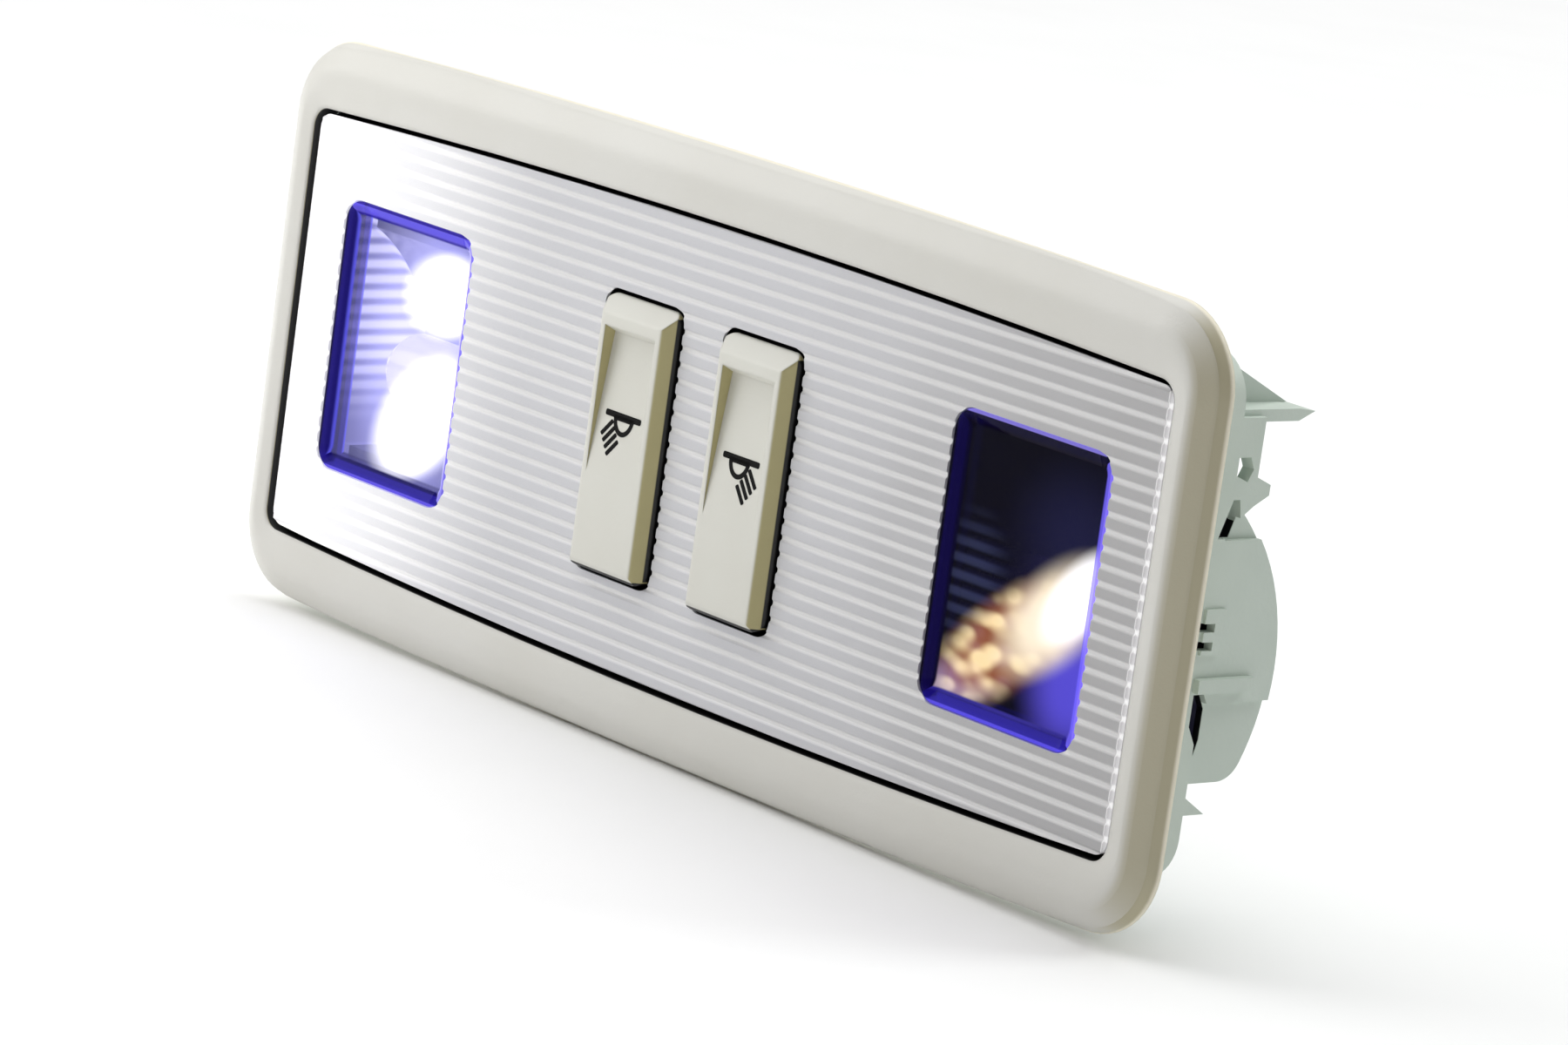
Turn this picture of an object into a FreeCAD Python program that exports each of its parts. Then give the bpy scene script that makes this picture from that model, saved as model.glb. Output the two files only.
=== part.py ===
import FreeCAD, Part
import math
import os
import re
import Sketcher
from FreeCAD import Placement, Rotation, Vector

# Rear roof courtesy light: a bezel round a ribbed panel with two reading windows and two keys,
# on a housing with two barrel-backed lamp pods.
# X runs along the lamp, Z up across it, and the face looks along -Y.
# Levels named "face" or "rise" count forwards from the seating plane at Y = 0, "depth" backwards.

SIZES = {
    # bezel
    "overall_length": 170.0,
    "overall_height": 74.0,
    "bezel_bow_radius": 2780.0,
    "bezel_corner_radius": 10.0,
    "bezel_rise": 3.4,
    "bezel_slope_width": 3.5,
    "bezel_slope_drop": 2.2,
    "bezel_edge_bevel": 0.9,
    "bezel_crown_radius": 3.0,
    "bezel_rim_wall": 1.8,
    "bezel_hollow_width": 2.2,
    "bezel_hollow_depth": 1.0,
    "bezel_end_width": 6.0,
    "bezel_side_width": 8.2,
    "opening_bow_radius": 1990.0,
    "opening_corner_radius": 2.6,
    "lip_width": 2.4,
    "lip_drop": 0.4,
    # ribbed panel
    "panel_gap": 0.7,
    "panel_face": 2.4,
    "panel_thickness": 2.2,
    "panel_skirt_inset": 1.6,
    "panel_skirt_wall": 1.3,
    "rib_pitch": 1.96,
    "rib_height": 0.25,
    "rib_base": 1.62,
    "rib_crest": 1.0,
    "rib_end_margin": 0.5,
    # reading windows
    "window_end_margin": 21.3,
    "window_width": 26.3,
    "window_height": 34.6,
    "window_radius": 3.0,
    "lens_clearance": 0.15,
    "lens_recess": 1.0,
    "lens_border": 0.5,
    "lens_bevel": 1.5,
    "lens_flange": 1.5,
    "lens_flange_thickness": 1.0,
    # rocker keys
    "key_centre": 11.0,
    "key_width": 13.6,
    "key_top": 16.65,
    "key_bottom": 16.75,
    "key_corner_radius": 1.5,
    "key_gap": 0.6,
    "key_rise": 2.1,
    "key_bevel_rise": 1.9,
    "key_bevel_width": 1.2,
    "key_top_bevel": 2.2,
    "key_lower_bevel": 0.9,
    "key_edge_radius": 0.5,
    "key_wall": 1.3,
    "key_skirt_depth": 5.0,
    "key_roof_level": 1.0,
    "scoop_rim": 0.9,
    "scoop_top": 13.0,
    "scoop_end": 5.0,
    "scoop_depth": 1.7,
    "stop_lip_reach": 1.6,
    "stop_lip_thickness": 1.3,
    "stop_lip_width": 9.6,
    "pivot_depth": 3.0,
    "pivot_inset": 4.25,
    "pivot_radius": 1.2,
    "pivot_length": 1.5,
    "pivot_clearance": 0.05,
    "bearing_gap": 0.3,
    "bearing_thickness": 1.4,
    "bearing_half_width": 3.0,
    "bearing_wall": 1.2,
    # push switches
    "switch_height": 6.5,
    "switch_width": 9.0,
    "switch_length": 10.0,
    "switch_depth": 4.5,
    "plunger_radius": 1.7,
    "plunger_clearance": 0.05,
    "plunger_gap": 0.3,
    "plunger_tip_depth": 2.2,
    "plunger_length": 5.0,
    "plunger_bore": 6.0,
    "plunger_bevel": 0.4,
    "pusher_radius": 2.0,
    # housing
    "tray_end_seat": 1.0,
    "tray_side_seat": 1.7,
    "tray_corner_radius": 6.0,
    "tray_wall": 1.8,
    "tray_depth": 7.0,
    "tray_floor": 1.5,
    "well_length": 82.0,
    "well_height": 42.0,
    "well_depth": 13.0,
    "well_wall": 1.6,
    "well_floor": 1.5,
    "pod_radius": 24.5,
    "pod_axis_face": 6.6,
    "pod_axis_drop": 5.5,
    "pod_bottom": 18.4,
    "pod_corner_radius": 3.6,
    "pod_wall": 1.6,
    "band_top": 9.6,
    "band_bottom": 9.0,
    "band_relief": 0.8,
    "ledge_length": 9.0,
    "ledge_bottom": 22.8,
    "ledge_thickness": 1.4,
    "ledge_reach": 18.9,
    "ledge_nose": 2.4,
    "ledge_nose_rise": 1.1,
    "fin_height": 5.8,
    "fin_length": 17.7,
    "fin_thickness": 1.5,
    "fin_inset": 3.5,
    "leg_reach": 10.6,
    "leg_foot_reach": 12.8,
    "leg_foot_height": 14.6,
    "leg_foot_thickness": 1.2,
    "leg_foot_lean": 0.9,
    "leg_hole_depth": 7.3,
    "leg_hole_length": 2.5,
    "leg_hole_bottom": 16.2,
    "leg_hole_height": 2.8,
    "leg_hole_lean": 0.7,
    "catch_height": 21.8,
    "catch_rise": 2.0,
    "catch_reach": 3.2,
    "end_rib_height": 6.8,
    "end_rib_thickness": 1.6,
    "end_rib_reach": 14.0,
    "end_rib_relief": 0.9,
    "slot_boss_reach": 8.5,
    "slot_boss_top": 1.9,
    "slot_boss_bottom": 3.3,
    "slot_boss_relief": 0.4,
    "slot_depth": 4.7,
    "slot_length": 2.4,
    "slot_thickness": 1.0,
    "slot_upper": 0.2,
    "slot_lower": 2.3,
    "side_opening_depth": 5.8,
    "side_opening_length": 2.6,
    "upper_opening_bottom": 9.8,
    "upper_opening_height": 4.4,
    "lower_opening_top": 7.9,
    "lower_opening_height": 7.3,
    # reflectors
    "reflector_wall": 1.0,
    "reflector_clearance": 0.4,
    "reflector_face_depth": 1.0,
    # bulbs and holders
    "bulb_depth": 6.2,
    "bulb_drop": 3.5,
    "bulb_radius": 4.7,
    "bulb_neck_radius": 2.6,
    "bulb_standoff": 4.0,
    "bulb_length": 21.0,
    "bulb_tip_radius": 2.0,
    "bulb_tip_length": 2.8,
    "bulb_bend_radius": 3.4,
    "bulb_bend_length": 0.9,
    "bulb_shoulder": 3.0,
    "wedge_width": 8.8,
    "wedge_thickness": 2.8,
    "wedge_length": 9.0,
    "wedge_clearance": 0.2,
    "holder_length": 6.4,
    "holder_height": 16.0,
    "holder_front_depth": 1.0,
    "holder_stub_radius": 5.2,
    "holder_stub_length": 3.2,
    "holder_clearance": 0.1,
    # contact strips and terminals
    "strip_thickness": 0.8,
    "strip_width": 3.0,
    "supply_height": 3.5,
    "ground_height": 3.5,
    "lamp_strip_height": 9.5,
    "terminal_width": 2.6,
    "terminal_thickness": 0.8,
    "terminal_clearance": 0.2,
    "stud_radius": 1.0,
    "stud_clearance": 0.1,
    "stud_rise": 1.5,
    "stud_centre": 24.0,
    # connector
    "socket_width": 16.0,
    "socket_height": 17.0,
    "socket_wall": 1.3,
    "socket_length": 11.0,
    "socket_base": 1.5,
    "socket_foot": 1.5,
    "blade_width": 2.8,
    "blade_thickness": 0.8,
    "blade_length": 6.4,
    "blade_clearance": 0.1,
    # how far a cut runs past the face it opens, and an added form sinks into what carries it
    "cut_margin": 1.0,
    "root_sink": 0.2,
}

# sizes that follow from the ones above
FOLLOWING = {
    "opening_length": "overall_length - 2 * bezel_end_width",
    "opening_height": "overall_height - 2 * bezel_side_width",
    "rib_count": "floor((opening_height - 2 * panel_gap) / rib_pitch) + 1",
    "window_centre": "opening_length / 2 - window_end_margin",
    "pivot_height": "key_bottom - pivot_inset",
    "tray_length": "opening_length + 2 * tray_end_seat",
    "tray_height": "opening_height + 2 * tray_side_seat",
    "bulb_start": "well_length / 2 + bulb_standoff",
    "holder_terminal": "well_length / 2 - well_wall - holder_length / 2",
}

SIDES = {"left": -1, "right": 1}
NODES = []

doc = FreeCAD.newDocument("courtesy_light")
sheet = doc.addObject("Spreadsheet::Sheet", "sizes")
for row, (alias, number) in enumerate(SIZES.items(), start=1):
    sheet.set(f"A{row}", alias)
    sheet.set(f"B{row}", str(number))
    sheet.setAlias(f"B{row}", alias)
doc.recompute()


def bound(text):
    # a formula in plain size names, with each name pointed at its cell
    def point(found):
        word = found[0]
        if word in FOLLOWING:
            return f"({bound(FOLLOWING[word])})"
        return f"sizes.{word}" if word in SIZES else word
    return re.sub(r"[a-z_]+", point, text)


def value(text):
    return float(sheet.evalExpression(bound(text)))


def new_body(name):
    body = doc.addObject("PartDesign::Body", name)
    body.Label = name
    NODES.append(body)
    return body


def new_sketch(body, role, offset):
    plane = [feature for feature in body.Origin.OriginFeatures if feature.Role == role][0]
    sketch = body.newObject("Sketcher::SketchObject", f"{body.Name}_sketch")
    sketch.AttachmentSupport = [(plane, "")]
    sketch.MapMode = "FlatFace"
    sketch.setExpression("AttachmentOffset.Base.z", bound(offset))
    return sketch


def bind(sketch, kind, *where, to):
    index = sketch.addConstraint(Sketcher.Constraint(kind, *where, value(to)))
    name = f"size{index}"
    sketch.renameConstraint(index, name)
    sketch.setExpression(f"Constraints.{name}", bound(to))


def outline(points):
    # a closed outline run counter-clockwise; a third entry is the radius of the arc that leaves that corner
    def draw(sketch):
        first = sketch.GeometryCount
        count = len(points)
        places = [Vector(value(point[0]), value(point[1]), 0) for point in points]
        for index, point in enumerate(points):
            start = places[index]
            end = places[(index + 1) % count]
            if len(point) == 2:
                sketch.addGeometry(Part.LineSegment(start, end))
                continue
            radius = value(point[2])
            chord = end - start
            inwards = Vector(-chord.y, chord.x, 0).normalize()
            centre = (start + end) / 2 + inwards * math.sqrt(max(radius ** 2 - (chord.Length / 2) ** 2, 0))
            angles = [math.atan2(place.y - centre.y, place.x - centre.x) for place in (start, end)]
            sketch.addGeometry(Part.ArcOfCircle(Part.Circle(centre, Vector(0, 0, 1), radius), *angles))
        for index, point in enumerate(points):
            edge = first + index
            sketch.addConstraint(Sketcher.Constraint("Coincident", edge, 2, first + (index + 1) % count, 1))
            bind(sketch, "DistanceX", -1, 1, edge, 1, to=point[0])
            bind(sketch, "DistanceY", -1, 1, edge, 1, to=point[1])
            if len(point) == 3:
                bind(sketch, "Radius", edge, to=point[2])
    return draw


def rectangle(left, right, bottom, top):
    return outline([(left, bottom), (right, bottom), (right, top), (left, top)])


def rounded(left, right, bottom, top, radius):
    return outline([
        (f"{left} + {radius}", bottom),
        (f"{right} - {radius}", bottom, radius),
        (right, f"{bottom} + {radius}"),
        (right, f"{top} - {radius}", radius),
        (f"{right} - {radius}", top),
        (f"{left} + {radius}", top, radius),
        (left, f"{top} - {radius}"),
        (left, f"{bottom} + {radius}", radius),
    ])


def circle(across, up, radius):
    def draw(sketch):
        centre = Vector(value(across), value(up), 0)
        ring = sketch.addGeometry(Part.Circle(centre, Vector(0, 0, 1), value(radius)))
        bind(sketch, "DistanceX", -1, 1, ring, 3, to=across)
        bind(sketch, "DistanceY", -1, 1, ring, 3, to=up)
        bind(sketch, "Radius", ring, to=radius)
    return draw


def bowed(length, height, bow_radius, corner_radius):
    # straight ends, long edges bowed outwards on a large radius, all joined tangentially
    half_length = f"({length}) / 2"
    bow_centre = f"({height}) / 2 - ({bow_radius})"

    def draw(sketch):
        first = sketch.GeometryCount
        reach = value(half_length)
        bow = value(bow_radius)
        low = value(bow_centre)
        corner = value(corner_radius)
        across = reach - corner
        up = low + math.sqrt((bow - corner) ** 2 - across ** 2)
        lean = math.atan2(up - low, across)
        full = math.pi
        arcs = [
            (across, up, corner, 0, lean),
            (0, low, bow, lean, full - lean),
            (-across, up, corner, full - lean, full),
            (-across, -up, corner, full, full + lean),
            (0, -low, bow, full + lean, 2 * full - lean),
            (across, -up, corner, 2 * full - lean, 2 * full),
        ]
        shapes = [Part.ArcOfCircle(Part.Circle(Vector(x, y, 0), Vector(0, 0, 1), radius), begin, end)
                  for x, y, radius, begin, end in arcs]
        right_end = Part.LineSegment(Vector(reach, -up, 0), Vector(reach, up, 0))
        left_end = Part.LineSegment(Vector(-reach, up, 0), Vector(-reach, -up, 0))
        edges = [right_end, *shapes[:3], left_end, *shapes[3:]]
        for edge in edges:
            sketch.addGeometry(edge)
        for index in range(len(edges)):
            following = first + (index + 1) % len(edges)
            sketch.addConstraint(Sketcher.Constraint("Tangent", first + index, 2, following, 1))
        for end, sign in ((first, ""), (first + 4, "-")):
            sketch.addConstraint(Sketcher.Constraint("Vertical", end))
            bind(sketch, "DistanceX", -1, 1, end, 1, to=f"{sign}({half_length})")
        for arc, sign in ((first + 2, ""), (first + 6, "-")):
            sketch.addConstraint(Sketcher.Constraint("PointOnObject", arc, 3, -2))
            bind(sketch, "DistanceY", -1, 1, arc, 3, to=f"{sign}({bow_centre})")
            bind(sketch, "Radius", arc, to=bow_radius)
        for arc in (1, 3, 5, 7):
            bind(sketch, "Radius", first + arc, to=corner_radius)
    return draw


def pad(body, role, offset, shapes, length, backwards=False):
    sketch = new_sketch(body, role, offset)
    for draw in shapes:
        draw(sketch)
    feature = body.newObject("PartDesign::Pad", f"{body.Name}_pad")
    feature.Profile = sketch
    feature.setExpression("Length", bound(length))
    feature.Reversed = backwards
    feature.recompute(True)
    return feature


def cut(body, role, offset, shapes, length, backwards=False):
    before = body.Tip.Shape.Volume
    sketch = new_sketch(body, role, offset)
    for draw in shapes:
        draw(sketch)
    feature = body.newObject("PartDesign::Pocket", f"{body.Name}_pocket")
    feature.Profile = sketch
    feature.setExpression("Length", bound(length))
    feature.Reversed = backwards
    feature.recompute(True)
    if not feature.Shape.Volume < before:
        raise ValueError(f"{feature.Name} cuts nothing from {body.Label}")
    return feature


def edges_of(feature, test):
    return [f"Edge{index}" for index, edge in enumerate(feature.Shape.Edges, start=1) if test(edge.BoundBox)]


def near(number, goal):
    return abs(number - goal) < 0.01


def fillet(body, base, names, radius):
    feature = body.newObject("PartDesign::Fillet", f"{body.Name}_fillet")
    feature.Base = (base, names)
    feature.setExpression("Radius", bound(radius))
    feature.recompute(True)
    return feature


def bevel(body, base, names, width, drop, flip):
    # a slope that takes width from one face of each edge and drop from the other
    feature = body.newObject("PartDesign::Chamfer", f"{body.Name}_bevel")
    feature.Base = (base, names)
    feature.ChamferType = "Two distances"
    feature.FlipDirection = flip
    feature.setExpression("Size", bound(width))
    feature.setExpression("Size2", bound(drop))
    feature.recompute(True)
    return feature


def lean_in(pocket, run, depth):
    # the walls of a pocket close in by run over its depth
    pocket.setExpression("TaperAngle", bound(f"-atan(({run}) / ({depth}))"))
    pocket.recompute(True)


def repeat(body, original, axis, pitch, count):
    pattern = body.newObject("PartDesign::LinearPattern", f"{body.Name}_pattern")
    pattern.Originals = [original]
    pattern.Direction = (original.Profile[0], [axis])
    pattern.setExpression("Length", bound(f"({pitch}) * ({count} - 1)"))
    pattern.setExpression("Occurrences", bound(count))
    body.Tip = pattern
    pattern.recompute(True)
    return pattern


def make_bezel():
    body = new_body("bezel")
    rim = ("overall_length", "overall_height", "bezel_bow_radius", "bezel_corner_radius")
    blank = pad(body, "XZ_Plane", "0", [bowed(*rim)], "bezel_rise")
    front = -value("bezel_rise")
    names = edges_of(blank, lambda box: near(box.YMin, front) and near(box.YMax, front))
    slope = bevel(body, blank, names, "bezel_slope_width", "bezel_slope_drop", True)
    shoulder = -value("bezel_rise - bezel_slope_drop")
    names = edges_of(slope, lambda box: near(box.YMin, shoulder) and near(box.YMax, shoulder))
    edge = bevel(body, slope, names, "bezel_edge_bevel", "bezel_edge_bevel", False)
    names = edges_of(edge, lambda box: near(box.YMin, front) and near(box.YMax, front))
    fillet(body, edge, names, "bezel_crown_radius")
    gate = ("opening_length", "opening_height", "opening_bow_radius", "opening_corner_radius")
    cut(body, "XZ_Plane", "bezel_rise + cut_margin", [bowed(*gate)], "bezel_rise + 2 * cut_margin")
    # gentle lip that slopes down to the opening
    lip = bowed("opening_length + 2 * lip_width", "opening_height + 2 * lip_width",
                "opening_bow_radius + lip_width", "opening_corner_radius + lip_width")
    lean_in(cut(body, "XZ_Plane", "bezel_rise", [lip], "lip_drop"), "lip_width", "lip_drop")
    # relief groove behind the crown, between the outer rim and the seat on the housing
    groove = []
    for inset in ("bezel_rim_wall", "(bezel_rim_wall + bezel_hollow_width)"):
        groove.append(bowed(f"overall_length - 2 * {inset}", f"overall_height - 2 * {inset}",
                            f"bezel_bow_radius - {inset}", f"bezel_corner_radius - {inset}"))
    cut(body, "XZ_Plane", "0", groove, "bezel_hollow_depth", True)


def panel_outline(inset):
    return bowed(f"opening_length - 2 * (panel_gap + {inset})", f"opening_height - 2 * (panel_gap + {inset})",
                 f"opening_bow_radius - panel_gap - {inset}", "opening_corner_radius - panel_gap")


def window_outline(side, growth):
    half_width = f"(window_width / 2 + {growth})"
    half_height = f"(window_height / 2 + {growth})"
    centre = f"{side} * window_centre"
    return rounded(f"{centre} - {half_width}", f"{centre} + {half_width}",
                   f"-{half_height}", half_height, f"(window_radius + {growth})")


def key_outline(side, growth):
    centre = f"{side} * key_centre"
    half_width = f"(key_width / 2 + {growth})"
    return rounded(f"{centre} - {half_width}", f"{centre} + {half_width}",
                   f"-key_bottom - {growth}", f"key_top + {growth}", f"(key_corner_radius + {growth})")


def make_panel():
    body = new_body("ribbed_panel")
    pad(body, "XZ_Plane", "panel_face - panel_thickness", [panel_outline("0")], "panel_thickness")
    # one rib section, sunk a little into the plate, then repeated up the face
    start = "(rib_count - 1) / 2 * rib_pitch"
    rib_length = "(opening_length - 2 * (panel_gap + rib_end_margin))"
    foot = "-panel_face + rib_height"
    section = outline([
        ("-panel_face - rib_height", f"-{start} - rib_crest / 2"),
        (foot, f"-{start} - rib_base / 2 - (rib_base - rib_crest) / 2"),
        (foot, f"-{start} + rib_base / 2 + (rib_base - rib_crest) / 2"),
        ("-panel_face - rib_height", f"-{start} + rib_crest / 2"),
    ])
    rib = pad(body, "YZ_Plane", f"-{rib_length} / 2", [section], rib_length)
    repeat(body, rib, "V_Axis", "rib_pitch", "rib_count")
    # ribs end at the bowed edge of the panel
    outer = rectangle("-overall_length", "overall_length", "-overall_height", "overall_height")
    through = "panel_thickness + 2 * cut_margin"
    cut(body, "XZ_Plane", "panel_face + cut_margin", [outer, panel_outline("0")], through)
    pad(body, "XZ_Plane", "panel_face - panel_thickness",
        [panel_outline("panel_skirt_inset"), panel_outline("(panel_skirt_inset + panel_skirt_wall)")],
        "tray_depth - tray_floor + panel_face - panel_thickness", True)
    for side in SIDES.values():
        openings = [window_outline(side, "0"), key_outline(side, "key_gap")]
        cut(body, "XZ_Plane", "panel_face + cut_margin", openings, through)


def make_lens(name, side):
    body = new_body(f"{name}_reading_lens")
    back = "(panel_face - panel_thickness)"
    pad(body, "XZ_Plane", back, [window_outline(side, "-lens_clearance")], "panel_thickness")
    # shallow pan with sloping borders
    pan = cut(body, "XZ_Plane", "panel_face", [window_outline(side, "-lens_border")], "lens_recess")
    lean_in(pan, "lens_bevel", "lens_recess")
    half_width = "(window_width / 2 + lens_flange)"
    half_height = "(window_height / 2 + lens_flange)"
    centre = f"{side} * window_centre"
    flange = rectangle(f"{centre} - {half_width}", f"{centre} + {half_width}", f"-{half_height}", half_height)
    pad(body, "XZ_Plane", back, [flange], "lens_flange_thickness", True)


def make_key(name, side):
    body = new_body(f"{name}_rocker_key")
    centre = f"{side} * key_centre"
    face = "(panel_face + key_rise)"
    pad(body, "XZ_Plane", "-key_skirt_depth", [key_outline(side, "0")], f"key_skirt_depth + {face}")
    # long sloping bevel at the upper end, shorter ones down the sides and at the lower end
    half_width = "(key_width / 2)"
    upper_bevel = outline([
        (f"-{face} - cut_margin", "key_top - key_top_bevel - cut_margin"),
        (f"-{face} + key_top_bevel + cut_margin", "key_top + cut_margin"),
        (f"-{face} - cut_margin", "key_top + cut_margin"),
    ])
    lower_bevel = outline([
        (f"-{face} - cut_margin", "-key_bottom - cut_margin"),
        (f"-{face} + key_lower_bevel + cut_margin", "-key_bottom - cut_margin"),
        (f"-{face} - cut_margin", "-key_bottom + key_lower_bevel + cut_margin"),
    ])
    cut(body, "YZ_Plane", f"{centre} + {half_width} + cut_margin", [upper_bevel, lower_bevel],
        "key_width + 2 * cut_margin")
    right_bevel = outline([
        (f"{centre} + {half_width} - key_bevel_width", f"-{face}"),
        (f"{centre} + {half_width} - key_bevel_width", f"-{face} - cut_margin"),
        (f"{centre} + {half_width} + cut_margin", f"-{face} - cut_margin"),
        (f"{centre} + {half_width} + cut_margin", f"-{face} + key_bevel_rise"),
        (f"{centre} + {half_width}", f"-{face} + key_bevel_rise"),
    ])
    left_bevel = outline([
        (f"{centre} - {half_width} + key_bevel_width", f"-{face}"),
        (f"{centre} - {half_width}", f"-{face} + key_bevel_rise"),
        (f"{centre} - {half_width} - cut_margin", f"-{face} + key_bevel_rise"),
        (f"{centre} - {half_width} - cut_margin", f"-{face} - cut_margin"),
        (f"{centre} - {half_width} + key_bevel_width", f"-{face} - cut_margin"),
    ])
    sides = cut(body, "XY_Plane", "key_top + cut_margin", [left_bevel, right_bevel],
                "key_top + key_bottom + 2 * cut_margin")
    front = -value(face)
    names = edges_of(sides, lambda box: near(box.YMin, front) and near(box.YMax, front))
    fillet(body, sides, names, "key_edge_radius")
    scoop = outline([
        (f"-{face}", "-scoop_end"),
        (f"-{face} + scoop_depth", "scoop_top - scoop_depth / 2"),
        (f"-{face}", "scoop_top"),
        (f"-{face} - cut_margin", "scoop_top"),
        (f"-{face} - cut_margin", "-scoop_end"),
    ])
    scoop_width = "(key_width - 2 * (key_bevel_width + scoop_rim))"
    cut(body, "YZ_Plane", f"{centre} + {scoop_width} / 2", [scoop], scoop_width)
    hollow = rectangle(f"{centre} - {half_width} + key_wall", f"{centre} + {half_width} - key_wall",
                       "-key_bottom + key_wall", "key_top - key_wall")
    cut(body, "XZ_Plane", "-key_skirt_depth", [hollow], "key_skirt_depth + key_roof_level", True)
    pad(body, "XZ_Plane", "key_roof_level + root_sink", [circle(centre, "switch_height", "pusher_radius")],
        "key_roof_level + root_sink + plunger_tip_depth - plunger_gap", True)
    for end in (-1, 1):
        pivot = circle("pivot_depth", "-pivot_height", "pivot_radius")
        pad(body, "YZ_Plane", f"{centre} + {end} * ({half_width} - key_wall / 2)", [pivot],
            "pivot_length + key_wall / 2", end < 0)
    # stop lip that rests under the panel at the upper end
    lip = rectangle(f"{centre} - stop_lip_width / 2", f"{centre} + stop_lip_width / 2",
                    "key_top - key_wall / 2", "key_top + stop_lip_reach")
    pad(body, "XZ_Plane", "panel_face - panel_thickness - bearing_gap", [lip], "stop_lip_thickness", True)


def barrel(shrink):
    # section of a lamp pod: a wide arc rounded into a flat bottom
    radius = f"(pod_radius - {shrink})"
    bottom = f"-pod_bottom + {shrink}"
    heart = "(pod_radius - pod_corner_radius)"
    rise = "(pod_axis_drop + pod_corner_radius - pod_bottom)"
    run = f"sqrt({heart} ^ 2 - {rise} ^ 2)"
    growth = f"{radius} / {heart}"
    return outline([
        ("0", bottom),
        (f"{run} - pod_axis_face", bottom, f"pod_corner_radius - {shrink}"),
        (f"{run} * {growth} - pod_axis_face", f"{rise} * {growth} - pod_axis_drop", radius),
        ("0", f"sqrt({radius} ^ 2 - pod_axis_face ^ 2) - pod_axis_drop"),
    ])


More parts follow.
